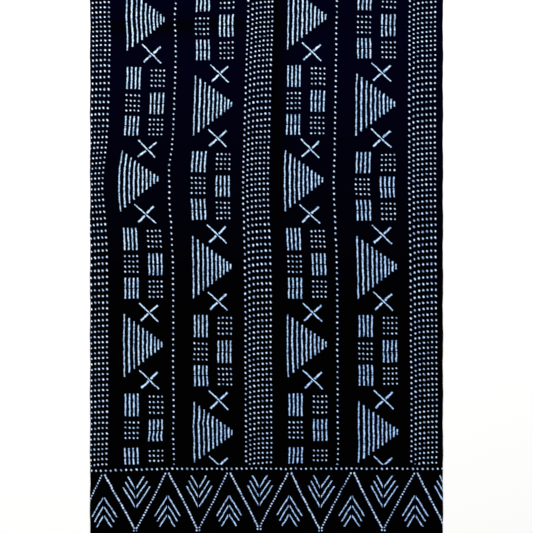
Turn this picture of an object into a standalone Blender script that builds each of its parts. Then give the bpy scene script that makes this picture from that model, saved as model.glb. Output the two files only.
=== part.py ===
"""A cut length of printed cotton cloth, opened out of its folds and lying face up.

+X runs across the cloth, +Y from the border towards the far end, and +Z up. The origin is on the
surface that the cloth lies on, below the middle of the cloth. All sizes are in metres.
"""

import math
from typing import NamedTuple

import bpy
import numpy as np

# The cut length
WIDTH = 0.644
LENGTH = 0.986
THICKNESS = 0.0012

# The pressed creases lie a quarter of the roll's width apart
CREASE_PITCH = 0.303
CENTRE_CREASE_X = 0.0157
MIDDLE_CREASE_Y = 0.134
TOP_CREASE_Y = MIDDLE_CREASE_Y + CREASE_PITCH
LOWER_CREASE_Y = MIDDLE_CREASE_Y - CREASE_PITCH

# How the cloth settles: the last part of a millimetre lies down on the surface
SETTLE_DROP = 0.0003
SETTLE_ROUNDING = 0.0010
CREST_ROUNDING = 0.004

# Spacing of the rows and columns that the sheet is built from
OPEN_STEP = 0.0195
CREASE_STEPS = (0.004, 0.011)

RIGHT = WIDTH / 2
LEFT = -RIGHT
FAR = LENGTH / 2
NEAR = -FAR


class Swell(NamedTuple):
    """A panel between creases that stands a little off the surface, like a low pillow."""

    name: str
    centre_x: float
    centre_y: float
    reach_x: float
    reach_y: float
    rise: float


class Crease(NamedTuple):
    """A fold line from one point to another.

    A ridge adds its lift. A trough presses the cloth down by a share of its height. The fades are
    shares of the line's length over which the crease dies away at its start and at its end.
    """

    name: str
    start: tuple[float, float]
    end: tuple[float, float]
    lift: float
    press: float
    reach: float
    sway: float
    fade_start: float
    fade_end: float


SWELLS = (
    #     name             centre_x centre_y reach_x reach_y rise
    Swell("far left",       -0.160,  0.503,  0.150,  0.098, 0.0046),
    Swell("far right",       0.170,  0.496,  0.146,  0.124, 0.0058),
    Swell("upper left",     -0.142,  0.292,  0.188,  0.184, 0.0078),
    Swell("upper right",     0.150,  0.302,  0.184,  0.178, 0.0086),
    Swell("middle left",    -0.132, -0.008,  0.184,  0.190, 0.0058),
    Swell("middle right",    0.160, -0.032,  0.168,  0.172, 0.0049),
    Swell("lower left",     -0.174, -0.248,  0.142,  0.132, 0.0038),
    Swell("lower right",     0.142, -0.246,  0.154,  0.118, 0.0031),
)

CREASES = (
    #      name             start                             end
    Crease("centre crease", (CENTRE_CREASE_X, FAR),           (CENTRE_CREASE_X + 0.003, -0.170),
           lift=0.0, press=0.92, reach=0.017, sway=0.0016, fade_start=0.0, fade_end=0.55),
    Crease("top crease",    (LEFT, TOP_CREASE_Y),             (RIGHT, TOP_CREASE_Y + 0.006),
           lift=0.0, press=0.85, reach=0.014, sway=0.0020, fade_start=0.0, fade_end=0.70),
    Crease("middle ridge",  (LEFT, MIDDLE_CREASE_Y + 0.002),  (RIGHT, MIDDLE_CREASE_Y - 0.001),
           lift=0.0044, press=0.0, reach=0.028, sway=0.0018, fade_start=0.80, fade_end=0.08),
    Crease("left tuck",     (LEFT, MIDDLE_CREASE_Y),          (-0.205, MIDDLE_CREASE_Y + 0.012),
           lift=0.0026, press=0.0, reach=0.018, sway=0.0010, fade_start=0.20, fade_end=0.70),
    Crease("lower crease",  (LEFT, LOWER_CREASE_Y + 0.004),   (RIGHT, LOWER_CREASE_Y - 0.002),
           lift=0.0, press=0.80, reach=0.016, sway=0.0024, fade_start=0.25, fade_end=0.45),
    Crease("slanted crease", (-0.238, -0.322),                (-0.040, -0.282),
           lift=0.0013, press=0.0, reach=0.012, sway=0.0012, fade_start=0.35, fade_end=0.45),
)


def smooth(share):
    """Ease from 0 to 1 as share goes from 0 to 1, level at both ends."""
    share = np.clip(share, 0.0, 1.0)
    return share * share * (3.0 - 2.0 * share)


def swell_height(swell, x, y):
    """(1 - u²)² (1 - v²)², where u and v are the distances from the middle over the reach."""
    u = np.clip((x - swell.centre_x) / swell.reach_x, -1.0, 1.0)
    v = np.clip((y - swell.centre_y) / swell.reach_y, -1.0, 1.0)
    return swell.rise * (1.0 - u * u) ** 2 * (1.0 - v * v) ** 2


def crease_share(crease, x, y):
    """1 on the fold line and less beside it: e to the minus rounded distance over the reach."""
    run_x = crease.end[0] - crease.start[0]
    run_y = crease.end[1] - crease.start[1]
    length = math.hypot(run_x, run_y)
    along = ((x - crease.start[0]) * run_x + (y - crease.start[1]) * run_y) / length**2
    across = ((x - crease.start[0]) * run_y - (y - crease.start[1]) * run_x) / length
    across = across - crease.sway * np.sin(2.0 * math.pi * 1.5 * along)
    rounded = np.sqrt(across**2 + CREST_ROUNDING**2) - CREST_ROUNDING
    share = np.exp(-rounded / crease.reach)
    if crease.fade_start > 0.0:
        share = share * smooth(along / crease.fade_start)
    if crease.fade_end > 0.0:
        share = share * smooth((1.0 - along) / crease.fade_end)
    return share


def settled(height):
    """The height less the settle drop, exactly flat below zero and rounded just above it."""
    height = height - SETTLE_DROP
    rounded = height * height / (2.0 * SETTLE_ROUNDING)
    high = height - SETTLE_ROUNDING / 2.0
    return np.where(height < 0.0, 0.0, np.where(height < SETTLE_ROUNDING, rounded, high))


def underside_height(x, y):
    """Height of the cloth's underside: swells and ridges, pressed down along the troughs."""
    height = sum(swell_height(swell, x, y) for swell in SWELLS)
    height = height + sum(crease.lift * crease_share(crease, x, y) for crease in CREASES)
    for crease in CREASES:
        height = height * (1.0 - crease.press * crease_share(crease, x, y))
    return settled(height)


def grid_lines(low, high, crease_places):
    """Even lines from low to high, with closer ones beside each crease."""
    count = round((high - low) / OPEN_STEP)
    even = np.linspace(low, high, count + 1)
    close = list(crease_places)
    for place in crease_places:
        for step in CREASE_STEPS:
            close += [place - step, place + step]
    kept = [line for line in even[1:-1] if min(abs(line - c) for c in close) > OPEN_STEP / 4]
    return np.array(sorted([low, high] + kept + close))


def sheet_mesh(name):
    """The cloth's underside as a grid of quads that face up."""
    columns = grid_lines(LEFT, RIGHT, [CENTRE_CREASE_X])
    rows = grid_lines(NEAR, FAR, [LOWER_CREASE_Y, MIDDLE_CREASE_Y, TOP_CREASE_Y])
    x, y = np.meshgrid(columns, rows)
    points = np.stack([x, y, underside_height(x, y)], axis=-1).reshape(-1, 3)
    corner = np.arange(len(points)).reshape(x.shape)
    quads = np.stack(
        [corner[:-1, :-1], corner[:-1, 1:], corner[1:, 1:], corner[1:, :-1]], axis=-1
    ).reshape(-1, 4)
    mesh = bpy.data.meshes.new(name)
    mesh.from_pydata(points.tolist(), [], quads.tolist())
    mesh.shade_smooth()
    return mesh


def cloth_material():
    """Indigo cotton, printed in pale blue: matt, and nearly black in its ground."""
    material = bpy.data.materials.new("printed_cotton")
    material.use_nodes = True
    shader = material.node_tree.nodes["Principled BSDF"]
    shader.inputs["Base Color"].default_value = (0.006, 0.008, 0.024, 1.0)
    shader.inputs["Roughness"].default_value = 0.85
    shader.inputs["Metallic"].default_value = 0.0
    return material


def build_cloth():
    """The cloth: one sheet, thickened upwards from the surface that it lies on."""
    cloth = bpy.data.objects.new("printed_cloth", sheet_mesh("printed_cloth"))
    bpy.context.scene.collection.objects.link(cloth)
    cloth.data.materials.append(cloth_material())
    thickness = cloth.modifiers.new("cloth thickness", "SOLIDIFY")
    thickness.thickness = THICKNESS
    thickness.offset = 1.0
    return cloth


def main():
    """Clear the scene and build the cloth."""
    for obj in list(bpy.data.objects):
        bpy.data.objects.remove(obj, do_unlink=True)
    build_cloth()


main()
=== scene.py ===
"""Looks of a cut length of indigo wax print cotton, lying opened out of its folds on a pale floor.

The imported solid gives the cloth's place and outline. This script lays a thin sheet on the solid's
folds, draws the print on it from a chart of real sizes, and lights it for a camera straight above.
Lengths are in metres, and in millimetres where a name ends in _mm or a docstring says so.
"""

from __future__ import annotations

import logging
import math
from dataclasses import dataclass, field
from enum import Enum
from typing import Any

import bpy
import numpy as np
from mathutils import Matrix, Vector
from numpy.typing import NDArray

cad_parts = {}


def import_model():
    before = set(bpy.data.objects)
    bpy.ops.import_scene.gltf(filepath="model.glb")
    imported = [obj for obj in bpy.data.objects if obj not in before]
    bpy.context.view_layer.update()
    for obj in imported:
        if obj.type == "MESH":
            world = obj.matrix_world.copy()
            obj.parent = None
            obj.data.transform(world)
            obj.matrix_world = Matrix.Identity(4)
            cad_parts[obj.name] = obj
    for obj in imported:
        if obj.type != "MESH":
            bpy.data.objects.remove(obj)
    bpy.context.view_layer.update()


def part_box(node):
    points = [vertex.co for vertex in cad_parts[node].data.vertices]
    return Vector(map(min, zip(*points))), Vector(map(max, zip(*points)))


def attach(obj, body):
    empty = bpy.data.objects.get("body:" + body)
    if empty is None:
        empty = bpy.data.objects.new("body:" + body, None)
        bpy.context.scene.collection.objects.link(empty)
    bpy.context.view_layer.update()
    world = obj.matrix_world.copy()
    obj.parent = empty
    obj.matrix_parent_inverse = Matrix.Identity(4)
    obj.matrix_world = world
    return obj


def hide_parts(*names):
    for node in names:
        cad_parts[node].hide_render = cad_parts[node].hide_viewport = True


LOG = logging.getLogger("wax_print_cloth")

Grid = NDArray[np.float64]
Feed = Any  # a number, a colour or vector, a node, a socket, or None to leave an input alone

SOLID = "printed_cloth"
BODY = "root"
PRINT_MAP = "OFBake"
# Share of the troughs, kept on the sheet to paint shade in the creases
PAINTED_CREASE_SHADE = "painted_crease_shade"
MM = 0.001

# Depths in millimetres: how softly the end of a stroke is rounded, and a depth that hides a mark
CORNER_MM = 0.8
HIDDEN_MM = -50.0
# Keeps whole numbers off the seam where they wrap round
SEAM = 0.01


def linear(code: str) -> tuple[float, float, float, float]:
    """Turn an sRGB hex colour into linear red, green, blue and alpha.

    Args:
        code: Six hex digits, such as "0b1430".

    Returns:
        Linear values from 0 to 1, with alpha 1.
    """
    shares = [int(code[i : i + 2], 16) / 255 for i in (0, 2, 4)]
    red, green, blue = [s / 12.92 if s <= 0.04045 else ((s + 0.055) / 1.055) ** 2.4 for s in shares]
    return red, green, blue, 1.0


def eased(share: Grid) -> Grid:
    """Ease from 0 to 1 as share goes from 0 to 1: 3 s² - 2 s³, held level outside."""
    share = np.clip(share, 0.0, 1.0)
    return share * share * (3.0 - 2.0 * share)


class Fold(Enum):
    """What a crease does to the cloth."""

    RIDGE = "stands up by its amount, in metres"
    TROUGH = "presses the cloth down by its amount, a share of the height"


@dataclass(frozen=True)
class Swell:
    """A panel between creases that stands a little off the floor, like a low pillow."""

    name: str
    centre_x: float
    centre_y: float
    reach_x: float
    reach_y: float
    rise: float

    def height(self, x: Grid, y: Grid) -> Grid:
        """Height over the floor: rise (1 - u²)² (1 - v²)², u and v the distances over the reach.

        Args:
            x: Places across the cloth.
            y: Places along the cloth.

        Returns:
            The swell's height at each place.
        """
        u = np.clip((x - self.centre_x) / self.reach_x, -1.0, 1.0)
        v = np.clip((y - self.centre_y) / self.reach_y, -1.0, 1.0)
        return self.rise * (1.0 - u * u) ** 2 * (1.0 - v * v) ** 2


@dataclass(frozen=True)
class Crease:
    """A fold line from one point to another, dying away over a share of its length at each end.

    Attributes:
        name: What a maker would call it.
        start: One end, in metres.
        end: The other end, in metres.
        amount: Height of a ridge in metres, or share of the height that a trough takes away.
        reach: Distance from the line at which about a third of it is left.
        sway: How far the line wanders to each side.
        fade_start: Share of the length over which it grows from nothing at its start.
        fade_end: Share of the length over which it dies away at its end.
        rounding: Distance over which its crest is rounded.
        fold: Whether it stands up or is pressed down.
        slip_mm: How far to the right the cloth has slipped along the line.
        slip_below: Distance below the line at which about a third of the slip is left.
        slip_above: Distance above the line at which about a third of the slip is left.
        sway_turns: How many times the line wanders there and back along its length.
    """

    name: str
    start: tuple[float, float]
    end: tuple[float, float]
    amount: float
    reach: float
    sway: float
    fade_start: float = 0.0
    fade_end: float = 0.0
    rounding: float = 0.004
    fold: Fold = Fold.RIDGE
    slip_mm: float = 0.0
    slip_below: float = 0.014
    slip_above: float = 0.004
    sway_turns: float = 1.5

    def place(self, x: Grid, y: Grid) -> tuple[Grid, Grid]:
        """Find where places lie beside the fold line.

        Args:
            x: Places across the cloth.
            y: Places along the cloth.

        Returns:
            The distance from the line, and how much is left of the crease so near its ends.
        """
        run_x = self.end[0] - self.start[0]
        run_y = self.end[1] - self.start[1]
        length = math.hypot(run_x, run_y)
        along = ((x - self.start[0]) * run_x + (y - self.start[1]) * run_y) / length**2
        across = ((x - self.start[0]) * run_y - (y - self.start[1]) * run_x) / length
        across = across - self.sway * np.sin(2.0 * math.pi * self.sway_turns * along)
        left = np.ones_like(along)
        if self.fade_start > 0.0:
            left = left * eased(along / self.fade_start)
        if self.fade_end > 0.0:
            left = left * eased((1.0 - along) / self.fade_end)
        return across, left

    def share(self, x: Grid, y: Grid) -> Grid:
        """How much of the crease is felt: e to the minus rounded distance over the reach."""
        across, left = self.place(x, y)
        return left * np.exp(-(np.hypot(across, self.rounding) - self.rounding) / self.reach)

    def slip(self, x: Grid, y: Grid) -> Grid:
        """How far the cloth has slipped to the right: it dies away fast above the line, slowly below.

        The slip is its amount times e to the minus distance over the reach on that side.

        Args:
            x: Places across the cloth.
            y: Places along the cloth.

        Returns:
            The slip at each place, in metres.
        """
        across, left = self.place(x, y)
        reach = np.where(across > 0.0, self.slip_below, self.slip_above)
        return self.slip_mm * MM * left * np.exp(-np.abs(across) / reach)


@dataclass(frozen=True)
class Pull:
    """A place where handling and printing have shifted the print, sideways or along the cloth.

    Attributes:
        name: Where on the print it lies.
        x: Its middle across the cloth, in metres.
        y: Its middle along the cloth.
        reach_x: Distance across at which three fifths of it are left.
        reach_y: Distance along at which three fifths of it are left.
        right_mm: How far the print has shifted to the right.
        up_mm: How far it has shifted towards the far end.
    """

    name: str
    x: float
    y: float
    reach_x: float
    reach_y: float
    right_mm: float
    up_mm: float

    def share(self, x: Grid, y: Grid) -> Grid:
        """Bell-shaped share of the pull: e to the minus half the squared distance in reaches."""
        return np.exp(-0.5 * (((x - self.x) / self.reach_x) ** 2 + ((y - self.y) / self.reach_y) ** 2))


# Where the pressed creases lie, and the solid's side and end edges, in metres
CENTRE_X = 0.0157
MIDDLE_Y = 0.134
PITCH_Y = 0.303
FAR_Y = MIDDLE_Y + PITCH_Y
LOWER_Y = MIDDLE_Y - PITCH_Y
SIDE = 0.322
END = 0.493

SWELLS = (
    # name, centre_x, centre_y, reach_x, reach_y, rise
    Swell("far left", -0.160, 0.503, 0.150, 0.098, 0.0046),
    Swell("far right", 0.170, 0.496, 0.146, 0.124, 0.0058),
    Swell("upper left", -0.142, 0.292, 0.188, 0.184, 0.0078),
    Swell("upper right", 0.150, 0.302, 0.184, 0.178, 0.0086),
    Swell("middle left", -0.132, -0.008, 0.184, 0.190, 0.0058),
    Swell("middle right", 0.160, -0.032, 0.168, 0.172, 0.0049),
    Swell("lower left", -0.174, -0.248, 0.142, 0.132, 0.0038),
    Swell("lower right", 0.142, -0.246, 0.154, 0.118, 0.0031),
)

# The folds that the solid has too
CREASES = (
    Crease(
        "centre crease", (CENTRE_X, END), (CENTRE_X + 0.003, -0.170),
        amount=0.92, reach=0.017, sway=0.0016, fade_end=0.55, fold=Fold.TROUGH,
    ),
    Crease(
        "top crease", (-SIDE, FAR_Y), (SIDE, FAR_Y + 0.006),
        amount=0.85, reach=0.014, sway=0.0020, fade_end=0.70, fold=Fold.TROUGH,
    ),
    Crease(
        "lower crease", (-SIDE, LOWER_Y + 0.004), (SIDE, LOWER_Y - 0.002),
        amount=0.80, reach=0.016, sway=0.0024, fade_start=0.25, fade_end=0.45, fold=Fold.TROUGH,
    ),
    Crease(
        "middle ridge", (-SIDE, MIDDLE_Y + 0.002), (SIDE, MIDDLE_Y - 0.001),
        amount=0.0044, reach=0.028, sway=0.0018, fade_start=0.80, fade_end=0.08,
    ),
    Crease(
        "left tuck", (-SIDE, MIDDLE_Y), (-0.205, MIDDLE_Y + 0.012),
        amount=0.0026, reach=0.018, sway=0.0010, fade_start=0.20, fade_end=0.70,
    ),
    Crease(
        "slanted crease", (-0.238, -0.322), (-0.040, -0.282),
        amount=0.0013, reach=0.012, sway=0.0012, fade_start=0.35, fade_end=0.45,
    ),
)

# Fine folds of the sheet alone, which the solid leaves out
WRINKLES = (
    # name, start, end, amount, reach, sway, fade_start, fade_end, rounding
    Crease("far wrinkle", (-SIDE, 0.450), (-0.100, 0.446), 0.0010, 0.008, 0.0010, 0.1, 0.4, 0.003),
    Crease("second wrinkle", (-SIDE, 0.398), (-0.170, 0.394), 0.0008, 0.007, 0.0012, 0.1, 0.5, 0.003),
    Crease("left wrinkle", (-SIDE, 0.184), (-0.100, 0.178), 0.0008, 0.008, 0.0014, 0.1, 0.5, 0.003),
    Crease("centre wrinkle", (0.004, 0.420), (0.010, 0.060), 0.0007, 0.005, 0.0012, 0.2, 0.5, 0.002),
    Crease("lower wrinkle", (-0.260, -0.181), (-0.080, -0.178), 0.0008, 0.007, 0.0008, 0.3, 0.4, 0.003),
    Crease("right wrinkle", (0.100, -0.167), (0.300, -0.160), 0.0006, 0.007, 0.0010, 0.3, 0.5, 0.002),
    Crease("side wrinkle", (0.300, 0.300), (0.309, -0.120), 0.0008, 0.008, 0.0014, 0.3, 0.5, 0.002),
    Crease(
        "slanted wrinkle", (-0.275, -0.330), (-0.060, -0.269),
        amount=0.0007, reach=0.007, sway=0.0008, fade_start=0.10, fade_end=0.25, rounding=0.003,
        slip_mm=-2.0,
    ),
    Crease("border wrinkle", (-0.300, -0.405), (0.020, -0.392), 0.0004, 0.009, 0.0016, 0.3, 0.6, 0.002),
)

# Where the print of this cloth has shifted. Renders of this script were compared with the photograph,
# and each shift was then chosen and rounded.
PULLS = (
    # name, x, y, reach_x, reach_y, right_mm, up_mm
    Pull("far panel, left", -0.210, 0.395, 0.130, 0.085, 5.8, 0.0),
    Pull("far panel, middle", -0.020, 0.470, 0.030, 0.050, 4.0, 0.0),
    Pull("ridge, left", -0.240, 0.146, 0.092, 0.044, -10.2, 0.0),
    Pull("ridge, right", 0.085, 0.150, 0.105, 0.088, -7.2, 0.0),
    Pull("upper right", 0.120, 0.340, 0.150, 0.110, -2.4, 0.0),
    Pull("second dotted line", 0.130, 0.350, 0.025, 0.090, 0.0, -1.8),
    Pull("lower crease, right", 0.060, -0.130, 0.035, 0.045, -2.4, 0.0),
    Pull("lower right", 0.270, -0.280, 0.070, 0.140, 2.4, 0.0),
    Pull("lower left", -0.220, -0.220, 0.100, 0.180, 1.3, 0.0),
    Pull("left edge", -0.326, 0.000, 0.012, 1.500, 2.4, 0.0),
    Pull("far end, left", -0.200, 0.482, 0.100, 0.012, 2.2, -2.0),
    Pull("far panel, inner", -0.130, 0.438, 0.050, 0.016, -2.0, -1.4),
    Pull("far right, end", 0.203, 0.440, 0.050, 0.030, -1.6, -2.0),
    Pull("upper right, inner", 0.068, 0.365, 0.035, 0.060, -1.3, 0.0),
    Pull("upper right, outer", 0.210, 0.308, 0.045, 0.022, -1.2, 0.3),
    Pull("upper right, low", 0.068, 0.225, 0.030, 0.014, 1.6, 0.0),
    Pull("second wrinkle", -0.235, 0.420, 0.040, 0.016, 1.5, 0.0),
    Pull("over the tuck", -0.200, 0.188, 0.050, 0.010, -1.5, 0.0),
    Pull("on the tuck", -0.200, 0.146, 0.050, 0.014, 1.9, 0.0),
    Pull("under the tuck", -0.200, 0.060, 0.050, 0.030, -1.4, 0.0),
    Pull("ridge, far side", 0.165, 0.200, 0.050, 0.025, 1.3, -1.6),
    Pull("ridge, outer", 0.210, 0.150, 0.035, 0.014, -1.6, -1.2),
    Pull("ridge, near side", 0.165, 0.090, 0.050, 0.030, 1.4, 0.0),
    Pull("middle", -0.080, -0.030, 0.060, 0.100, -1.2, 0.0),
    Pull("lower crease, left", -0.230, -0.140, 0.040, 0.035, -1.5, 0.0),
    Pull("lower crease, inner", -0.090, -0.165, 0.050, 0.025, -1.4, -2.2),
    Pull("lower crease, outer", 0.205, -0.158, 0.040, 0.020, -1.1, -1.4),
    Pull("border, left", -0.170, -0.430, 0.080, 0.050, 2.8, 0.0),
    Pull("border, middle", 0.050, -0.440, 0.050, 0.070, -2.6, 0.0),
    Pull("border, right", 0.200, -0.440, 0.080, 0.070, -3.4, 0.0),
    Pull("border, valley", -0.012, -0.460, 0.030, 0.040, 0.0, 3.0),
    Pull("far left", -0.150, 0.400, 0.140, 0.110, 0.0, -8.0),
    Pull("upper left", -0.200, 0.270, 0.060, 0.040, 0.0, -1.9),
    Pull("upper left, outer", -0.225, 0.300, 0.040, 0.016, 0.0, -2.0),
    Pull("far right", 0.260, 0.400, 0.090, 0.140, 0.0, -5.5),
    Pull("left of the ridge", -0.200, 0.155, 0.060, 0.030, 0.0, 2.4),
    Pull("under the ridge", -0.100, 0.105, 0.180, 0.035, 0.0, 1.6),
    Pull("lower panel", -0.100, -0.262, 0.280, 0.040, 0.0, -3.0),
    Pull("over the border", 0.000, -0.360, 0.800, 0.025, 0.0, 1.2),
    Pull("lower panel, far side", -0.050, -0.243, 0.350, 0.014, 0.0, 1.1),
    Pull("lower panel, near side", 0.000, -0.312, 0.350, 0.014, 0.0, -1.5),
    Pull("over the border, right", 0.130, -0.335, 0.090, 0.025, 1.8, 0.0),
    Pull("border corner", -0.310, -0.380, 0.060, 0.060, -1.5, -3.6),
)


@dataclass
class PrintedCloth:
    """The cut length of cloth: one thin closed sheet on the solid's folds.

    Attributes:
        low: Lowest corner of the solid's box.
        high: Highest corner of the solid's box.
        thickness: Thickness of the sheet, twice that of the real cloth so that its edge shows.
        step: Spacing of the sheet's rows and columns.
        settle_drop: Height that lies down flat on the floor.
        settle_rounding: Height over which the cloth lifts off in a soft curve.
        edge_wander: How far the cut edges stray from a straight line.
        edge_sharpness: How near an edge the straying starts: a power of the place over the half.
        side_waves: Waves of the side edges: radians a metre, slow and fast, and the fast one's start.
        end_waves: The same for the edges at the ends.
        ripple_waves: How many waves the ripple is the sum of.
        ripple_spans: Shortest and longest wave of the ripple.
        ripple_rise: Height of one of its waves.
        ripple_base: How many such heights it stands up by as a whole.
        ripple_full: Height over the floor from which it shows in full.
        map_margin: Clear border of the print map round the cloth.
        seed: Seed of the ripple's random draws.
        map_size: Size of the print map, from the solid's box and the margin.
    """

    low: Vector
    high: Vector
    thickness: float = 0.0006
    step: float = 0.0037
    settle_drop: float = 0.0003
    settle_rounding: float = 0.0010
    edge_wander: float = 0.0004
    edge_sharpness: int = 24
    side_waves: tuple[float, float, float] = (61.0, 173.0, 1.0)
    end_waves: tuple[float, float, float] = (53.0, 149.0, 2.0)
    ripple_waves: int = 12
    ripple_spans: tuple[float, float] = (0.022, 0.060)
    ripple_rise: float = 0.00004
    ripple_base: float = 4.0
    ripple_full: float = 0.002
    map_margin: float = 0.012
    seed: int = 7
    map_size: tuple[float, float] = field(init=False)

    def __post_init__(self) -> None:
        """Work out the size of the print map, in metres."""
        self.map_size = (
            self.high.x - self.low.x + 2 * self.map_margin,
            self.high.y - self.low.y + 2 * self.map_margin,
        )

    def underside(self, x: Grid, y: Grid) -> Grid:
        """Height of the underside: swells and ridges, pressed down along troughs, then wrinkles.

        Args:
            x: Places across the cloth.
            y: Places along the cloth.

        Returns:
            Heights over the floor, almost 0 where the cloth lies flat.
        """
        height = sum(swell.height(x, y) for swell in SWELLS)
        ridges = [crease for crease in CREASES if crease.fold is Fold.RIDGE]
        height = height + sum(ridge.amount * ridge.share(x, y) for ridge in ridges)
        height = height * (1.0 - self.pressed(x, y)) - self.settle_drop
        rounded = height * height / (2.0 * self.settle_rounding)
        lifted = height - self.settle_rounding / 2.0
        laid = np.where(height < self.settle_rounding, rounded, lifted)
        laid = np.where(height < 0.0, 0.0, laid)
        fine = sum(wrinkle.amount * wrinkle.share(x, y) for wrinkle in WRINKLES)
        return laid + fine + self.ripple(x, y) * eased(laid / self.ripple_full)

    def pressed(self, x: Grid, y: Grid) -> Grid:
        """Share of the height that the troughs take away: 1 less the product of what each leaves."""
        left = np.ones_like(x)
        for crease in CREASES:
            if crease.fold is Fold.TROUGH:
                left = left * (1.0 - crease.amount * crease.share(x, y))
        return 1.0 - left

    def ripple(self, x: Grid, y: Grid) -> Grid:
        """Faint unevenness of handled cotton: a sum of slanted sine waves, never below 0.

        Args:
            x: Places across the cloth.
            y: Places along the cloth.

        Returns:
            Heights of up to about 0.5 mm.
        """
        draw = np.random.default_rng(self.seed)
        total = np.zeros_like(x)
        for _ in range(self.ripple_waves):
            wave = draw.uniform(*self.ripple_spans)
            turn = draw.uniform(0.0, math.pi)
            phase = draw.uniform(0.0, 2.0 * math.pi)
            total += np.sin(2.0 * math.pi * (x * math.cos(turn) + y * math.sin(turn)) / wave + phase)
        return self.ripple_rise * (total + self.ripple_base).clip(0.0)

    def print_place(self, x: Grid, y: Grid) -> tuple[Grid, Grid]:
        """Where each place lies in the print: the place less the sum of the pulls and slips there.

        Args:
            x: Places across the cloth.
            y: Places along the cloth.

        Returns:
            Places in the print, across and along, in metres.
        """
        right = sum(pull.right_mm * MM * pull.share(x, y) for pull in PULLS)
        right = right + sum(wrinkle.slip(x, y) for wrinkle in WRINKLES)
        up = sum(pull.up_mm * MM * pull.share(x, y) for pull in PULLS)
        return x - right, y - up

    def edge_share(self, place: Grid, span: float) -> Grid:
        """1 at one edge, -1 at the other, nearly 0 between: the place over half the span, to a power."""
        return (2.0 * np.abs(place) / span) ** self.edge_sharpness * np.sign(place)

    def wander(self, place: Grid, waves: tuple[float, float, float]) -> Grid:
        """How far an edge strays inwards along its length: a slow wave and a faster one half as high.

        Args:
            place: Places along the edge.
            waves: Radians a metre of the slow and the fast wave, and where the fast one starts.

        Returns:
            The stray at each place, in metres.
        """
        slow, fast, start = waves
        return self.edge_wander * (1.0 + np.sin(place * slow) + 0.5 * np.sin(place * fast + start))

    def build(self) -> bpy.types.Object:
        """Make the sheet: a grid for the underside, one for the face, and a rim that joins them.

        Returns:
            The cloth's object, at the origin, with its print map.
        """
        columns = round((self.high.x - self.low.x) / self.step) + 1
        rows = round((self.high.y - self.low.y) / self.step) + 1
        x, y = np.meshgrid(
            np.linspace(self.low.x, self.high.x, columns),
            np.linspace(self.low.y, self.high.y, rows),
        )
        height = self.underside(x, y)
        print_x, print_y = self.print_place(x, y)
        cut_x = x - self.edge_share(x, self.high.x - self.low.x) * self.wander(y, self.side_waves)
        cut_y = y - self.edge_share(y, self.high.y - self.low.y) * self.wander(x, self.end_waves)
        back = np.stack([cut_x, cut_y, height], axis=-1).reshape(-1, 3)
        face = back + (0.0, 0.0, self.thickness)

        corner = np.arange(rows * columns).reshape(rows, columns)
        quads = np.stack(
            [corner[:-1, :-1], corner[:-1, 1:], corner[1:, 1:], corner[1:, :-1]], axis=-1
        ).reshape(-1, 4)
        rim = np.concatenate([corner[0, :-1], corner[:-1, -1], corner[-1, :0:-1], corner[:0:-1, 0]])
        after = np.roll(rim, -1)
        layer = rows * columns
        sides = np.stack([rim, after, after + layer, rim + layer], axis=-1)
        faces = np.concatenate([quads[:, ::-1], quads + layer, sides])

        mesh = bpy.data.meshes.new("wax_print_cloth")
        mesh.from_pydata(np.concatenate([back, face]).tolist(), [], faces.tolist())
        mesh.shade_smooth()
        self.lay_print_map(mesh, print_x, print_y)
        # Painted shade: the troughs' share, which darkens the ground in the creases
        painted_crease_shade = mesh.attributes.new(PAINTED_CREASE_SHADE, "FLOAT", "POINT")
        painted_crease_shade.data.foreach_set("value", np.tile(self.pressed(x, y).ravel(), 2).astype(np.float32))
        cloth = bpy.data.objects.new("wax_print_cloth", mesh)
        bpy.context.scene.collection.objects.link(cloth)
        LOG.info("cloth: %d faces, highest fold %.1f mm", len(faces), 1000 * height.max())
        return cloth

    def lay_print_map(self, mesh: bpy.types.Mesh, print_x: Grid, print_y: Grid) -> None:
        """Give both layers the same map, because the dye goes through the cloth.

        Args:
            mesh: The sheet's mesh, back layer first.
            print_x: Places in the print across, one for each point of a layer.
            print_y: Places in the print along, one for each point of a layer.
        """
        width, length = self.map_size
        spots = np.stack([print_x / width + 0.5, print_y / length + 0.5], axis=-1).reshape(-1, 2)
        spots = np.concatenate([spots, spots])
        index = np.empty(len(mesh.loops), np.int32)
        mesh.loops.foreach_get("vertex_index", index)
        layer = mesh.uv_layers.new(name=PRINT_MAP)
        layer.uv.foreach_set("vector", spots[index].astype(np.float32).ravel())


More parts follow.
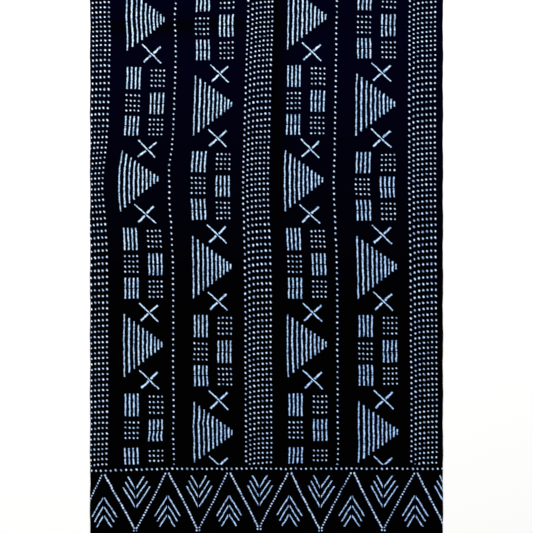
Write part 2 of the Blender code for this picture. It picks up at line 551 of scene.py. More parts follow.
@dataclass(frozen=True)
class PrintChart:
    """Sizes of the print in millimetres. The print repeats both ways.

    Places across are counted from a single dotted line, and places down a column of motifs from the
    middle of its striped triangle.
    """

    repeat: float = 300.0
    dotted_line_x: float = 129.5
    dotted_line_y: float = -3.3
    dotted_pitch: float = 9.7
    # Stretches where its dots lie further apart: from, to, and how many dots that takes away
    dotted_openings: tuple[tuple[float, float, float], ...] = (
        (-362.0, 20.0, -1.19),
        (20.0, 210.0, -1.40),
    )
    dot_radius: float = 1.85
    # Every dot leans: it is longer along the line that falls to the right
    dot_lean: float = 0.25

    # Dot bands: columns, and rows that fall away to the left, with stretches where they open or close
    band_x: float = 132.8
    band_columns: int = 7
    band_pitch_x: float = 7.7
    band_pitch_y: float = 9.6
    band_dot_radius: float = 1.9
    band_fall: float = 5.6
    band_fall_left: float = 0.44
    band_rise: float = 0.3
    band_openings: tuple[tuple[float, float, float], ...] = (
        (-134.0, 158.0, -4.07),
        (220.0, 390.0, -2.0),
        (380.0, 480.0, 1.0),
    )

    column_x: float = 38.8
    triangle_y: float = -1.6
    second_column_x: float = 172.8
    second_column_down: float = 142.0
    # Just over the upper cross, so that the column's repeat cuts no mark
    column_top: float = -79.0

    # Triangle of upright strokes, which close up and shorten to the right
    triangle_x: float = -0.9
    triangle_bars: int = 10
    triangle_pitch: float = 9.45
    triangle_closing: float = 0.20
    triangle_half_height: float = 57.0
    triangle_taper: float = 0.755
    triangle_lift: float = 0.025
    triangle_half_width: float = 1.5
    full_stroke_each: float = 2.4
    full_stroke_more: float = 0.2

    # Squares in two columns and three rows, the last of them set lower over the border
    square_x: float = 0.9
    square_pitch_x: float = 44.2
    square_y: float = 106.2
    square_pitch_y: float = 45.7
    square_rows: int = 3
    square_strokes: int = 4
    square_stroke_pitch: float = 7.5
    square_half_height: float = 20.0
    square_stroke_down: float = 0.4
    # The strokes of the third row end sooner at their foot
    third_row_up: float = 2.2
    third_row_shorter: float = 1.0
    square_half_width: float = 1.5
    # Break across the strokes of the lower rows: its depth, and the distances over which it closes
    square_break: float = 1.7
    square_break_from: float = 0.2
    square_break_to: float = 1.5
    square_dot_pitch: float = 9.4
    square_dot_radius: float = 1.8
    last_row_from: float = -300.0
    last_row_down: float = 8.5
    last_row_foot: float = -360.1

    # Crosses: run across, run down, half width and half length of each stroke
    cross_x: float = 44.7
    cross_y: float = 62.5
    cross_pitch_y: float = 121.5
    cross_lowest: float = 84.0
    cross_gap: float = 2.7
    thin_stroke: tuple[float, float, float, float] = (0.722, 0.692, 1.25, 24.6)
    thin_stroke_back: float = 1.4
    thin_stroke_pressed: float = 1.6
    broad_stroke: tuple[float, float, float, float] = (0.733, -0.680, 1.9, 21.0)

    # Border along the selvedge
    border_top: float = -362.4
    border_row_y: float = -369.8
    border_row_pitch: float = 9.16
    border_row_radius: float = 1.95
    zigzag_x: float = -297.4
    zigzag_half: float = 56.93
    zigzag_y: float = -371.9
    zigzag_fall: float = 1.91
    zigzag_start: float = 3.3
    zigzag_end: float = 54.3
    zigzag_before: float = 1.9
    zigzag_foot_y: float = -481.2
    bead_pitch: float = 5.26
    bead_radius: float = 1.7
    # A bead's width over its length along the arm, where the arms rise and where they fall
    bead_shape_rising: float = 0.9
    bead_shape_falling: float = 0.55


@dataclass(frozen=True)
class Chevrons:
    """A nest of chevrons of the border, in millimetres, at a turn of the zigzag.

    Attributes:
        at_peak: True for the nest under a peak, which points up, and False for the one over a valley.
        first_y: Height at which the first chevron would come to a point.
        pitch: Distance from one chevron down to the next.
        rising: Steepness of the arms that rise to the right.
        falling: Steepness of the arms that fall to the right.
        tip_y: Height of the first chevron's tips.
        tip_pitch: Distance from its tips down to the next chevron's.
        gap: Distance from the middle at which its arms stop short of meeting.
        count: How many chevrons it has.
        half_width: Half the width of an arm.
        swelling: How much wider an arm is where it swells.
        swelling_pitch: Distance from one swelling to the next.
        pressed: How much faster its arms turn pale from their edges than other strokes.
    """

    at_peak: bool
    first_y: float
    pitch: float
    rising: float
    falling: float
    tip_y: float
    tip_pitch: float
    gap: float
    count: int = 3
    half_width: float = 1.15
    swelling: float = 0.4
    swelling_pitch: float = 3.9
    pressed: float = 1.5


CHEVRONS = (
    Chevrons(
        at_peak=False, first_y=-405.0, pitch=17.2, rising=1.54, falling=1.78,
        tip_y=-381.6, tip_pitch=9.3, gap=1.3,
    ),
    Chevrons(
        at_peak=True, first_y=-417.7, pitch=17.2, rising=1.65, falling=1.60,
        tip_y=-455.3, tip_pitch=9.7, gap=0.9,
    ),
)


@dataclass(frozen=True)
class WaxPrintedCotton:
    """Plain-weave cotton, wax-resist printed and dyed in indigo until its ground is nearly black.

    The resist keeps the marks pale, the dye creeps a little under their edges and pools darker
    against the wax, and the face is matt, with hardly a shine on the flat of the threads.
    """

    # Painted light: the ground is navy at the far end, towards the lamp, and near black at the near end
    ground_far: str = "000012"
    ground_near: str = "000001"
    # Near black for the dye pooled against the wax, and for the painted shade in the creases
    ground_pooled_and_crease_shade: str = "000000"
    mark_edge: str = "1d4f88"
    stroke_far: str = "dff8ff"
    stroke_near: str = "bcdcff"
    dot_far: str = "f2fcff"
    dot_near: str = "dceeff"
    roughness: float = 0.85
    specular: float = 0.012
    edge_softness_mm: float = 0.4
    core_depth_mm: float = 1.25
    # Dye pools against the wax: how far out from a mark, from how near to it, and how dark
    pooling_mm: float = 5.0
    pooling_from_mm: float = 0.5
    pooling_share: float = 0.8
    # Worn block: how far places stray and marks swell at most, and how often in 100 mm
    stray_mm: float = 0.9
    strays_in_100_mm: float = 7.0
    swelling_mm: float = 0.9
    swellings_in_100_mm: float = 20.0
    # Patches with less wax: how many in 100 mm, the noise's limits, and how weak a mark's core gets
    patches_in_100_mm: float = 24.0
    patch_limits: tuple[float, float] = (0.30, 0.54)
    patch_weakest: float = 0.35
    # Painted light: the marks turn whiter along the cloth and to the left, and the ground turns navy along
    # it, towards the lamp beyond the far end on the left
    painted_light_across: float = -1.3
    painted_light_limits: tuple[float, float] = (-0.5, 0.7)
    ground_limits: tuple[float, float] = (-0.06, 0.45)
    # The real threads lie 0.35 mm apart, too fine for the picture, so they are drawn at 1.5 mm
    thread_mm: float = 1.5
    weave_depth: float = 0.00005
    weave_strength: float = 0.5


class PrintGraph:
    """Draws the print with shader nodes, from the print map, as a depth inside the marks in mm.

    A Map Range node takes the value as input 0, its limits coming in as 1 and 2, and those going out
    as 3 and 4. A Mix node takes the share as 0, and the two colours as 6 and 7.
    """

    def __init__(self, tree: bpy.types.NodeTree, chart: PrintChart) -> None:
        """Keep the tree to draw in and the chart to draw from."""
        self.tree = tree
        self.chart = chart

    def add(self, kind: str, feeds: Feed = (), **settings: Any) -> bpy.types.Node:
        """Add one node with its settings and its links.

        Args:
            kind: The node's type, without its "ShaderNode" start.
            feeds: What goes into each input, in order, or a dict from an input's number or name.
            **settings: Properties of the node.

        Returns:
            The new node. Where it feeds another, its first output in use is taken.
        """
        node = self.tree.nodes.new("ShaderNode" + kind)
        for name, value in settings.items():
            setattr(node, name, value)
        pairs = feeds.items() if isinstance(feeds, dict) else enumerate(feeds)
        for key, feed in pairs:
            if isinstance(feed, bpy.types.Node):
                feed = next(output for output in feed.outputs if output.enabled)
            if isinstance(feed, bpy.types.NodeSocket):
                self.tree.links.new(feed, node.inputs[key])
            elif feed is not None:
                node.inputs[key].default_value = feed
        return node

    def nearest(self, place: Feed, pitch: float, count: int) -> tuple[bpy.types.Node, bpy.types.Node]:
        """Find the nearest of a count of lines that start at 0 and lie a pitch apart.

        Args:
            place: Distance from the first line.
            pitch: Distance between lines.
            count: How many lines there are.

        Returns:
            The distance from the nearest line, and that line's place.
        """
        shifted = self.add("Math", (place, pitch / 2), operation="ADD")
        snapped = self.add("Math", (shifted, pitch), operation="SNAP")
        line = self.add("Clamp", (snapped, 0.0, pitch * (count - 1)))
        return self.add("Math", (place, line), operation="SUBTRACT"), line

    def stroke(self, across: Feed, along: Feed, half_width: Feed, half_length: Feed) -> bpy.types.Node:
        """Depth inside a straight stroke: the lesser of the depths from its side and from its end.

        Args:
            across: Distance from the stroke's centre line.
            along: Distance from the stroke's middle.
            half_width: Half the stroke's width.
            half_length: Half the stroke's length.

        Returns:
            The depth, below 0 outside the stroke.
        """
        aside = self.add("Math", (across,), operation="ABSOLUTE")
        from_side = self.add("Math", (half_width, aside), operation="SUBTRACT")
        ahead = self.add("Math", (along,), operation="ABSOLUTE")
        from_end = self.add("Math", (half_length, ahead), operation="SUBTRACT")
        return self.add("Math", (from_side, from_end, CORNER_MM), operation="SMOOTH_MIN")

    def dot(self, across: Feed, up: Feed, radius: float, lean: float = 0.0) -> bpy.types.Node:
        """Depth inside a dot: its radius less the distance from its middle.

        A dot that leans is measured with a slanted distance, √(across² + up² + 2 lean across up).

        Args:
            across: Distance from the dot's middle, across.
            up: Distance from the dot's middle, up.
            radius: The dot's radius.
            lean: Above 0 it is longer along the line that falls to the right, below 0 across it.

        Returns:
            The depth, below 0 outside the dot.
        """
        slanted = self.add("Math", (up, lean, across), operation="MULTIPLY_ADD")
        upright = self.add("Math", (up, math.sqrt(1.0 - lean**2)), operation="MULTIPLY")
        place = self.add("CombineXYZ", (slanted, upright, 0.0))
        away = self.add("VectorMath", (place,), operation="LENGTH")
        return self.add("Math", (radius, away), operation="SUBTRACT")

    def deepest(self, *depths: bpy.types.Node) -> bpy.types.Node:
        """Join marks: the greatest of their depths."""
        joined = depths[0]
        for depth in depths[1:]:
            joined = self.add("Math", (joined, depth), operation="MAXIMUM")
        return joined

    def dotted_line(self, phase: Feed, y: Feed) -> bpy.types.Node:
        """The single line of dots between two columns of motifs."""
        chart = self.chart
        across = self.add("Math", (phase, chart.repeat / 2, -chart.repeat / 2), operation="WRAP")
        from_first = self.add("Math", (y, chart.dotted_line_y), operation="SUBTRACT")
        number = self.add("Math", (from_first, 1 / chart.dotted_pitch), operation="MULTIPLY")
        for low, high, dots in chart.dotted_openings:
            opening = self.add("MapRange", {0: y, 1: low, 2: high, 3: 0.0, 4: dots})
            number = self.add("Math", (number, opening), operation="ADD")
        part = self.add("Math", (number, 0.5, -0.5), operation="WRAP")
        along = self.add("Math", (part, chart.dotted_pitch), operation="MULTIPLY")
        return self.dot(across, along, chart.dot_radius, chart.dot_lean)

    def band(self, phase: Feed, y: Feed) -> bpy.types.Node:
        """The band of dots.

        A row falls to the left by a curve that shrinks to under a half from column to column, and
        rises a little to the right. The row number is the height over the pitch, and each stretch
        where the rows open or close adds to that in a smooth step from one height to another.

        Args:
            phase: Place across, counted from a dotted line.
            y: Place along the cloth.

        Returns:
            The depth inside the dots.
        """
        chart = self.chart
        place = self.add("Math", (phase, chart.band_x), operation="SUBTRACT")
        across, column = self.nearest(place, chart.band_pitch_x, chart.band_columns)
        number = self.add("Math", (column, 1 / chart.band_pitch_x), operation="MULTIPLY")
        left = self.add("Math", (chart.band_fall_left, number), operation="POWER")
        level = self.add("Math", (left, chart.band_fall, y), operation="MULTIPLY_ADD")
        level = self.add("Math", (number, -chart.band_rise, level), operation="MULTIPLY_ADD")
        row = self.add("Math", (level, 1 / chart.band_pitch_y, -0.5), operation="MULTIPLY_ADD")
        for low, high, rows in chart.band_openings:
            limits = {0: level, 1: low, 2: high, 3: 0.0, 4: rows}
            opening = self.add("MapRange", limits, interpolation_type="SMOOTHSTEP")
            row = self.add("Math", (row, opening), operation="ADD")
        part = self.add("Math", (row, 0.5, -0.5), operation="WRAP")
        along = self.add("Math", (part, chart.band_pitch_y), operation="MULTIPLY")
        return self.dot(across, along, chart.band_dot_radius, chart.dot_lean)

    def triangle(self, x: Feed, down: Feed) -> bpy.types.Node:
        """The triangle of upright strokes, each shorter than the one to its left.

        Stroke number i stands at i (a - b i), with a the pitch at the first stroke and b half of what
        each pitch loses, so a place x has the number (a - √(a² - 4 b x)) / 2b. The strokes' width
        swings with a cosine.

        Args:
            x: Place across the column of motifs.
            down: Place down it, from the triangle's middle.

        Returns:
            The depth inside the strokes.
        """
        chart = self.chart
        first, closing = chart.triangle_pitch, chart.triangle_closing
        from_first = self.add("Math", (x, chart.triangle_x), operation="SUBTRACT")
        inside = self.add("Math", (from_first, -4 * closing, first**2), operation="MULTIPLY_ADD")
        root = self.add("Math", (inside,), operation="SQRT")
        number = self.add("Math", (root, -0.5 / closing, 0.5 * first / closing), operation="MULTIPLY_ADD")
        off, bar = self.nearest(number, 1.0, chart.triangle_bars)
        pitch = self.add("Math", (bar, -2 * closing, first), operation="MULTIPLY_ADD")
        across = self.add("Math", (off, pitch), operation="MULTIPLY")
        mean_pitch = self.add("Math", (bar, -closing, first), operation="MULTIPLY_ADD")
        place = self.add("Math", (bar, mean_pitch), operation="MULTIPLY")
        half = self.add(
            "Math", (place, -chart.triangle_taper, chart.triangle_half_height), operation="MULTIPLY_ADD"
        )
        turn = 2 * math.pi / chart.full_stroke_each
        swing = self.add("Math", (bar, turn, -turn), operation="MULTIPLY_ADD")
        swing = self.add("Math", (swing,), operation="COSINE")
        width = self.add(
            "Math", (swing, chart.full_stroke_more, chart.triangle_half_width), operation="MULTIPLY_ADD"
        )
        # The point of the triangle lies a little higher than the middle of its first stroke
        along = self.add("Math", (place, chart.triangle_lift, down), operation="MULTIPLY_ADD")
        return self.stroke(across, along, width, half)

    def squares(self, x: Feed, down: Feed, y: Feed) -> tuple[bpy.types.Node, bpy.types.Node]:
        """Three rows of two squares, of four strokes and of sixteen dots in turn, like a checkerboard.

        Args:
            x: Place across the column of motifs.
            down: Place down it, from the triangle's middle.
            y: Place along the cloth, because the last row lies lower and is cut off over the border.

        Returns:
            The depth inside the strokes, and the depth inside the dots.
        """
        chart = self.chart
        from_first = self.add("Math", (x, chart.square_x), operation="SUBTRACT")
        span = chart.square_stroke_pitch * (chart.square_strokes - 1)
        gap_middle = (chart.square_pitch_x + span) / 2
        second = self.add("Math", (from_first, gap_middle), operation="GREATER_THAN")
        inside = self.add("Math", (second, -chart.square_pitch_x, from_first), operation="MULTIPLY_ADD")
        across, _ = self.nearest(inside, chart.square_stroke_pitch, chart.square_strokes)

        from_row = self.add("Math", (down, chart.square_y), operation="SUBTRACT")
        along, row_y = self.nearest(from_row, chart.square_pitch_y, chart.square_rows)
        over_third = (chart.square_rows - 1.5) * chart.square_pitch_y
        third = self.add("Math", (row_y, over_third), operation="GREATER_THAN")
        last = self.add("Math", (y, chart.last_row_from), operation="LESS_THAN")
        lowered = self.add("Math", (third, last), operation="MULTIPLY")
        along = self.add("Math", (lowered, -chart.last_row_down, along), operation="MULTIPLY_ADD")
        turn = self.add("Math", (row_y, 1 / chart.square_pitch_y, second), operation="MULTIPLY_ADD")
        turn = self.add("Math", (turn, 2.0 - SEAM, -SEAM), operation="WRAP")
        dotted = self.add("Math", (turn, 0.5), operation="GREATER_THAN")

        from_middle = self.add("Math", (along, chart.square_stroke_down), operation="SUBTRACT")
        from_middle = self.add("Math", (third, chart.third_row_up, from_middle), operation="MULTIPLY_ADD")
        half_height = self.add(
            "Math", (third, -chart.third_row_shorter, chart.square_half_height), operation="MULTIPLY_ADD"
        )
        strokes = self.stroke(across, from_middle, chart.square_half_width, half_height)
        middle_off = self.add("Math", (from_middle,), operation="ABSOLUTE")
        lower = self.add("Math", (row_y, chart.square_pitch_y / 2), operation="GREATER_THAN")
        limits = {1: chart.square_break_from, 2: chart.square_break_to, 3: -chart.square_break, 4: 0.0}
        notch = self.add("MapRange", {0: middle_off, **limits})
        strokes = self.add("Math", (notch, lower, strokes), operation="MULTIPLY_ADD")

        top = chart.square_dot_pitch * (chart.square_strokes - 1) / 2
        from_top = self.add("Math", (along, top), operation="ADD")
        beside, _ = self.nearest(from_top, chart.square_dot_pitch, chart.square_strokes)
        # Places are counted downwards here, so the lean is turned round
        dots = self.dot(across, beside, chart.square_dot_radius, -chart.dot_lean)

        strokes = self.add("Math", (dotted, HIDDEN_MM, strokes), operation="MULTIPLY_ADD")
        plain = self.add("Math", (1.0, dotted), operation="SUBTRACT")
        dots = self.add("Math", (plain, HIDDEN_MM, dots), operation="MULTIPLY_ADD")
        over_foot = self.add("Math", (y, chart.last_row_foot), operation="SUBTRACT")
        strokes = self.add("Math", (strokes, over_foot), operation="MINIMUM")
        dots = self.add("Math", (dots, over_foot), operation="MINIMUM")
        return strokes, dots

    def crosses(self, x: Feed, down: Feed) -> bpy.types.Node:
        """The crosses over and under the triangle: a broad stroke that stops short of a thin one.

        Args:
            x: Place across the column of motifs.
            down: Place down it, from the triangle's middle.

        Returns:
            The depth inside the strokes.
        """
        chart = self.chart
        side = self.add("Math", (x, chart.cross_x), operation="SUBTRACT")
        level = self.add("Math", (down, chart.cross_y), operation="SUBTRACT")
        half = chart.cross_pitch_y / 2
        level = self.add("Math", (level, half, -half), operation="WRAP")
        place = self.add("CombineXYZ", (side, level, 0.0))
        arms = []
        aside = []
        backs = (chart.thin_stroke_back, 0.0)
        for arm, back in zip((chart.thin_stroke, chart.broad_stroke), backs):
            run_x, run_y, half_width, half_length = arm
            along = self.add("VectorMath", (place, (run_x, run_y, 0.0)), operation="DOT_PRODUCT")
            along = self.add("Math", (along, back), operation="ADD")
            across = self.add("VectorMath", (place, (-run_y, run_x, 0.0)), operation="DOT_PRODUCT")
            arms.append(self.stroke(across, along, half_width, half_length))
            aside.append(self.add("Math", (across,), operation="ABSOLUTE"))
        clear = self.add("Math", (aside[0], chart.cross_gap), operation="SUBTRACT")
        broad = self.add("Math", (arms[1], clear), operation="MINIMUM")
        # The thin stroke was pressed harder, so it is paler right up to its edges
        thin = self.add("Math", (arms[0], chart.thin_stroke_pressed), operation="MULTIPLY")
        both = self.deepest(thin, broad)
        below = self.add("Math", (down, chart.cross_lowest), operation="GREATER_THAN")
        return self.add("Math", (below, HIDDEN_MM, both), operation="MULTIPLY_ADD")

    def zigzag(self, across: Feed, falling: Feed, y: Feed) -> bpy.types.Node:
        """The border's zigzag: strings of beads, drawn out into each other where the arms fall.

        Args:
            across: Distance from the nearest peak, across.
            falling: 1 where the arms fall to the right, and 0 where they rise.
            y: Place along the cloth.

        Returns:
            The depth inside the beads.
        """
        chart = self.chart
        slant = math.hypot(1.0, chart.zigzag_fall)
        level = self.add("Math", (across, chart.zigzag_fall, y), operation="MULTIPLY_ADD")
        level = self.add("Math", (level, chart.zigzag_y), operation="SUBTRACT")
        off = self.add("Math", (level, 1 / slant), operation="MULTIPLY")
        along = self.add("Math", (across, slant, -chart.zigzag_start * slant), operation="MULTIPLY_ADD")
        along = self.add("Math", (level, -chart.zigzag_fall / slant, along), operation="MULTIPLY_ADD")
        half = chart.bead_pitch / 2
        beside = self.add("Math", (along, half, -half), operation="WRAP")
        shapes = {3: chart.bead_shape_rising, 4: chart.bead_shape_falling}
        shape = self.add("MapRange", {0: falling, 1: 0.0, 2: 1.0, **shapes})
        beside = self.add("Math", (beside, shape), operation="MULTIPLY")
        beads = self.dot(off, beside, chart.bead_radius)
        from_first = self.add("Math", (along, chart.zigzag_before), operation="ADD")
        length = (chart.zigzag_end - chart.zigzag_start) * slant
        from_last = self.add("Math", (length + half, along), operation="SUBTRACT")
        ends = self.add("Math", (from_first, from_last), operation="MINIMUM")
        string = self.add("Math", (beads, ends), operation="MINIMUM")
        foot_x = self.add("Math", (across, chart.zigzag_end), operation="SUBTRACT")
        foot_y = self.add("Math", (y, chart.zigzag_foot_y), operation="SUBTRACT")
        return self.deepest(string, self.dot(foot_x, foot_y, chart.bead_radius))

    def chevrons(self, nest: Chevrons, across: Feed, falling: Feed, y: Feed) -> bpy.types.Node:
        """A nest of chevrons: straight arms, each pair a pitch below the last, cut off at its tips.

        An arm swells and necks along its length with a cosine, like a run of touching dots.

        Args:
            nest: The nest's sizes.
            across: Distance from the turn of the zigzag that the nest stands at.
            falling: 1 where the arms fall to the right, and 0 where they rise.
            y: Place along the cloth.

        Returns:
            The depth inside the arms.
        """
        way = 1.0 if nest.at_peak else -1.0
        limits = {0: falling, 1: 0.0, 2: 1.0, 3: way * nest.rising, 4: way * nest.falling}
        slope = self.add("MapRange", limits)
        level = self.add("Math", (across, slope, y), operation="MULTIPLY_ADD")
        down = self.add("Math", (nest.first_y, level), operation="SUBTRACT")
        off, line = self.nearest(down, nest.pitch, nest.count)
        run = self.add("CombineXYZ", (1.0, slope, 0.0))
        run = self.add("VectorMath", (run,), operation="LENGTH")
        off = self.add("Math", (off, run), operation="DIVIDE")
        off = self.add("Math", (off,), operation="ABSOLUTE")
        turn = self.add("Math", (across, run), operation="MULTIPLY")
        turn = self.add("Math", (turn, 2 * math.pi / nest.swelling_pitch), operation="MULTIPLY")
        swelling = self.add("Math", (turn,), operation="COSINE")
        width = self.add("Math", (swelling, nest.swelling, nest.half_width), operation="MULTIPLY_ADD")
        depth = self.add("Math", (width, off), operation="SUBTRACT")
        tip = self.add("Math", (line, -nest.tip_pitch / nest.pitch, nest.tip_y), operation="MULTIPLY_ADD")
        from_tip = self.add("Math", (y, tip), operation="SUBTRACT")
        from_tip = self.add("Math", (from_tip, way), operation="MULTIPLY")
        from_point = self.add("Math", (across, nest.gap), operation="SUBTRACT")
        ends = self.add("Math", (from_tip, from_point), operation="MINIMUM")
        arms = self.add("Math", (depth, ends, CORNER_MM), operation="SMOOTH_MIN")
        return self.add("Math", (arms, nest.pressed), operation="MULTIPLY")

    def border(self, x: Feed, y: Feed) -> tuple[bpy.types.Node, bpy.types.Node]:
        """The border along the selvedge: a row of dots, a zigzag, and chevrons at each of its turns.

        Args:
            x: Place across the cloth.
            y: Place along the cloth.

        Returns:
            The depth inside the chevrons, and the depth inside the dots and beads.
        """
        chart = self.chart
        half = chart.border_row_pitch / 2
        along_row = self.add("Math", (x, half, -half), operation="WRAP")
        over_row = self.add("Math", (y, chart.border_row_y), operation="SUBTRACT")
        row = self.dot(along_row, over_row, chart.border_row_radius, chart.dot_lean)
        from_first = self.add("Math", (x, chart.zigzag_x), operation="SUBTRACT")
        side = self.add("Math", (from_first, chart.zigzag_half, -chart.zigzag_half), operation="WRAP")
        falling = self.add("Math", (side, 0.0), operation="GREATER_THAN")
        from_peak = self.add("Math", (side,), operation="ABSOLUTE")
        from_valley = self.add("Math", (chart.zigzag_half, from_peak), operation="SUBTRACT")
        nests = [
            self.chevrons(nest, from_peak if nest.at_peak else from_valley, falling, y) for nest in CHEVRONS
        ]
        return self.deepest(*nests), self.deepest(row, self.zigzag(from_peak, falling, y))

    def draw(self, place: Feed) -> tuple[bpy.types.Node, bpy.types.Node]:
        """Draw the whole print.

        Args:
            place: Place in the print, in millimetres from the middle of the cloth.

        Returns:
            The depth inside all strokes, and the depth inside all dots.
        """
        chart = self.chart
        axes = self.add("SeparateXYZ", (place,))
        x, y = axes.outputs["X"], axes.outputs["Y"]
        from_line = self.add("Math", (x, chart.dotted_line_x), operation="SUBTRACT")
        phase = self.add("Math", (from_line, chart.repeat, 0.0), operation="WRAP")
        second = self.add("Math", (phase, chart.second_column_x), operation="GREATER_THAN")
        column_x = self.add("Math", (phase, chart.column_x), operation="SUBTRACT")
        column_x = self.add("Math", (second, -chart.second_column_x, column_x), operation="MULTIPLY_ADD")
        down = self.add("Math", (chart.triangle_y, y), operation="SUBTRACT")
        down = self.add("Math", (second, -chart.second_column_down, down), operation="MULTIPLY_ADD")
        bottom = chart.column_top + chart.repeat
        down = self.add("Math", (down, bottom, chart.column_top), operation="WRAP")

        square_strokes, square_dots = self.squares(column_x, down, y)
        strokes = self.deepest(self.triangle(column_x, down), self.crosses(column_x, down), square_strokes)
        dots = self.deepest(self.dotted_line(phase, y), self.band(phase, y), square_dots)
        above = self.add("Math", (y, chart.border_top), operation="SUBTRACT")
        below = self.add("Math", (chart.border_top, y), operation="SUBTRACT")
        chevrons, beads = self.border(x, y)
        strokes = self.add("Math", (strokes, above), operation="MINIMUM")
        dots = self.add("Math", (dots, above), operation="MINIMUM")
        chevrons = self.add("Math", (chevrons, below), operation="MINIMUM")
        beads = self.add("Math", (beads, below), operation="MINIMUM")
        return self.deepest(strokes, chevrons), self.deepest(dots, beads)


def wax_printed_cotton(
    finish: WaxPrintedCotton, chart: PrintChart, cloth: PrintedCloth
) -> bpy.types.Material:
    """Make the cloth's material.

    Args:
        finish: Colours, gloss and weave.
        chart: Sizes of the print.
        cloth: The sheet, for the size of its print map.

    Returns:
        The material.
    """
    material = bpy.data.materials.new("wax_printed_indigo_cotton")
    material.use_nodes = True
    tree = material.node_tree
    graph = PrintGraph(tree, chart)
    add = graph.add
    shader = tree.nodes["Principled BSDF"]
    width_mm, length_mm = (side / MM for side in cloth.map_size)
    spots = add("UVMap", uv_map=PRINT_MAP)
    middle = (-width_mm / 2, -length_mm / 2, 0.0)
    flat = add("VectorMath", (spots, (width_mm, length_mm, 1.0), middle), operation="MULTIPLY_ADD")

    # The block is worn and laid by hand: places stray a little, and marks swell and neck
    noise = {"Vector": flat, "Scale": finish.strays_in_100_mm / 100, "Detail": 1.0}
    shift = add("TexNoise", noise, noise_dimensions="2D")
    shift = add("VectorMath", (shift.outputs["Color"], (0.5, 0.5, 0.5)), operation="SUBTRACT")
    stray = 2 * finish.stray_mm
    place = add("VectorMath", (shift, (stray, stray, 0.0), flat), operation="MULTIPLY_ADD")
    strokes, dots = graph.draw(place)
    depth = graph.deepest(strokes, dots)
    noise = {"Vector": flat, "Scale": finish.swellings_in_100_mm / 100, "Detail": 1.0}
    uneven = add("TexNoise", noise, noise_dimensions="2D")
    wobble = add("Math", (uneven, 2 * finish.swelling_mm, -finish.swelling_mm), operation="MULTIPLY_ADD")
    depth = add("Math", (depth, wobble), operation="ADD")

    # Resist edges: a pale core, a blue rim where the dye crept under the wax
    soft = finish.edge_softness_mm
    cover = add("MapRange", {0: depth, 1: -soft, 2: soft, 3: 0.0, 4: 1.0}, interpolation_type="SMOOTHSTEP")
    core = add("MapRange", {0: depth, 1: 0.0, 2: finish.core_depth_mm, 3: 0.0, 4: 1.0})
    noise = {"Vector": flat, "Scale": finish.patches_in_100_mm / 100, "Detail": 1.0}
    patchy = add("TexNoise", noise, noise_dimensions="2D")
    low, high = finish.patch_limits
    strength = add("MapRange", {0: patchy, 1: low, 2: high, 3: finish.patch_weakest, 4: 1.0})
    core = add("Math", (core, strength), operation="MULTIPLY")

    # Painted light: the marks are whitest at the far left, towards the lamp, and bluest at the near right
    object_place = add("TexCoord").outputs["Object"]
    axes = add("SeparateXYZ", (object_place,))
    x, y = axes.outputs["X"], axes.outputs["Y"]
    slant = add("Math", (x, finish.painted_light_across, y), operation="MULTIPLY_ADD")
    low, high = finish.painted_light_limits
    far = add("MapRange", {0: slant, 1: low, 2: high, 3: 0.0, 4: 1.0})
    pale = []
    for near, beyond in ((finish.dot_near, finish.dot_far), (finish.stroke_near, finish.stroke_far)):
        pale.append(add("Mix", {0: far, 6: linear(near), 7: linear(beyond)}, data_type="RGBA"))
    is_stroke = add("Math", (strokes, dots), operation="GREATER_THAN")
    palest = add("Mix", {0: is_stroke, 6: pale[0], 7: pale[1]}, data_type="RGBA")
    mark = add("Mix", {0: core, 6: linear(finish.mark_edge), 7: palest}, data_type="RGBA")

    # The ground is navy at the far end and near black at the border, painted light that falls off from the
    # lamp beyond the far end; near black in the creases, painted shade; and near black against the wax,
    # where the dye pools
    low, high = finish.ground_limits
    length = add("MapRange", {0: y, 1: low, 2: high, 3: 0.0, 4: 1.0})
    ground = add(
        "Mix", {0: length, 6: linear(finish.ground_near), 7: linear(finish.ground_far)}, data_type="RGBA"
    )
    # Painted shade: the ground turns near black in the creases, by the troughs' share
    painted_crease_shade = add("Attribute", attribute_name=PAINTED_CREASE_SHADE).outputs["Fac"]
    limits = {1: -finish.pooling_mm, 2: -finish.pooling_from_mm, 3: 0.0, 4: finish.pooling_share}
    pooled = add("MapRange", {0: depth, **limits})
    darker = add("Math", (painted_crease_shade, pooled), operation="MAXIMUM")
    ground = add("Mix", {0: darker, 6: ground, 7: linear(finish.ground_pooled_and_crease_shade)}, data_type="RGBA")
    colour = add("Mix", {0: cover, 6: ground, 7: mark}, data_type="RGBA")
    tree.links.new(colour.outputs[2], shader.inputs["Base Color"])

    # Plain weave: threads over and under in turn, as the product of a wave across and one along
    turn = math.pi / finish.thread_mm
    waves = add("VectorMath", (flat, (turn, turn, 0.0)), operation="MULTIPLY")
    waves = add("VectorMath", (waves,), operation="SINE")
    waves = add("SeparateXYZ", (waves,))
    weave = add("Math", (waves.outputs["X"], waves.outputs["Y"]), operation="MULTIPLY")
    bump = add("Bump", {"Strength": finish.weave_strength, "Distance": finish.weave_depth, "Height": weave})
    tree.links.new(bump.outputs["Normal"], shader.inputs["Normal"])
    shader.inputs["Roughness"].default_value = finish.roughness
    shader.inputs["Specular IOR Level"].default_value = finish.specular
    return material


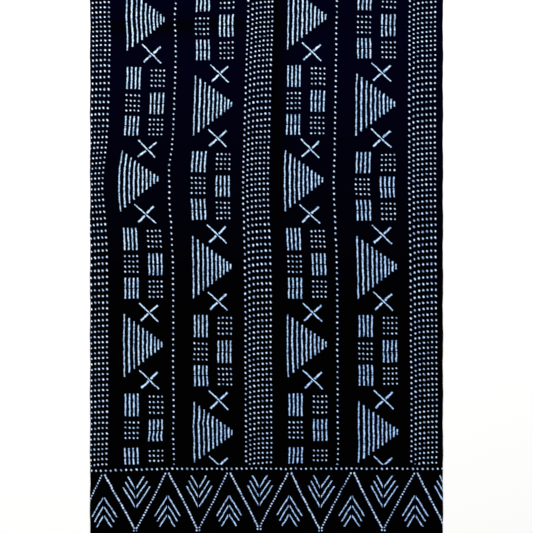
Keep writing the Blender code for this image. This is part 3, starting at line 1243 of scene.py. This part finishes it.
@dataclass
class Studio:
    """Pale floor, soft light and a camera straight above the cloth.

    Attributes:
        frame_side: Side of the square of floor that the picture shows, in metres.
        camera_height: Height of the camera, far enough off to look straight down everywhere.
        sensor_mm: Width of the camera's sensor.
        clip_end: Distance beyond which the camera sees nothing.
        floor_side: Side of the square floor.
        floor_drop: How far it lies below the cloth, so that their faces don't touch.
        floor_colour: Colour of its card.
        floor_roughness: Roughness of its card.
        floor_specular: Gloss of its card.
        world_strength: Strength of the pale surround.
        key_watts: Power of the light beyond the far end.
        key_place: Where that light stands.
        key_size: Side of that light's square.
    """

    frame_side: float = 0.972
    camera_height: float = 5.0
    sensor_mm: float = 36.0
    clip_end: float = 100.0
    floor_side: float = 30.0
    floor_drop: float = 0.0001
    floor_colour: str = "f4f4f3"
    floor_roughness: float = 0.95
    floor_specular: float = 0.1
    world_strength: float = 0.75
    key_watts: float = 150.0
    key_place: tuple[float, float, float] = (-0.9, 3.4, 2.3)
    key_size: float = 2.0

    def build(self) -> bpy.types.Object:
        """Make the floor, the lights and the camera.

        Returns:
            The floor.
        """
        floor = self.make_floor()
        self.make_lights()
        self.make_camera()
        return floor

    def make_floor(self) -> bpy.types.Object:
        """A square of pale card just below the cloth."""
        half = self.floor_side / 2
        corners = [(-half, -half), (half, -half), (half, half), (-half, half)]
        mesh = bpy.data.meshes.new("pale_floor")
        mesh.from_pydata([(x, y, -self.floor_drop) for x, y in corners], [], [(0, 1, 2, 3)])
        card = bpy.data.materials.new("pale_matt_card")
        card.use_nodes = True
        shader = card.node_tree.nodes["Principled BSDF"]
        shader.inputs["Base Color"].default_value = linear(self.floor_colour)
        shader.inputs["Roughness"].default_value = self.floor_roughness
        shader.inputs["Specular IOR Level"].default_value = self.floor_specular
        mesh.materials.append(card)
        floor = bpy.data.objects.new("pale_floor", mesh)
        bpy.context.scene.collection.objects.link(floor)
        return floor

    def make_lights(self) -> None:
        """An even pale surround, and a broad soft light beyond the far end of the cloth."""
        world = bpy.data.worlds.new("even_pale_surround")
        world.use_nodes = True
        sky = world.node_tree.nodes["Background"]
        sky.inputs["Color"].default_value = (1.0, 1.0, 1.0, 1.0)
        sky.inputs["Strength"].default_value = self.world_strength
        bpy.context.scene.world = world
        lamp = bpy.data.lights.new("soft_key", "AREA")
        lamp.size = self.key_size
        lamp.energy = self.key_watts
        key = bpy.data.objects.new("soft_key", lamp)
        key.location = self.key_place
        key.rotation_euler = (-Vector(self.key_place)).to_track_quat("-Z", "Y").to_euler()
        bpy.context.scene.collection.objects.link(key)

    def make_camera(self) -> None:
        """A long lens straight above the cloth, with the border at the foot of the picture."""
        lens = bpy.data.cameras.new("camera_above")
        lens.sensor_width = self.sensor_mm
        lens.lens = self.sensor_mm * self.camera_height / self.frame_side
        lens.clip_end = self.clip_end
        camera = bpy.data.objects.new("camera_above", lens)
        camera.location = (0.0, 0.0, self.camera_height)
        bpy.context.scene.collection.objects.link(camera)
        bpy.context.scene.camera = camera


def main() -> None:
    """Build the cloth and the studio."""
    logging.basicConfig(level=logging.INFO, format="%(name)s: %(message)s")
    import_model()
    bpy.context.scene.view_settings.view_transform = "Standard"

    sheet = PrintedCloth(*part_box(SOLID))
    cloth = sheet.build()
    cloth.data.materials.append(wax_printed_cotton(WaxPrintedCotton(), PrintChart(), sheet))
    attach(cloth, BODY)
    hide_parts(SOLID)
    floor = Studio().build()
    LOG.info("studio: floor, key light and camera")


if __name__ == "__main__":
    main()
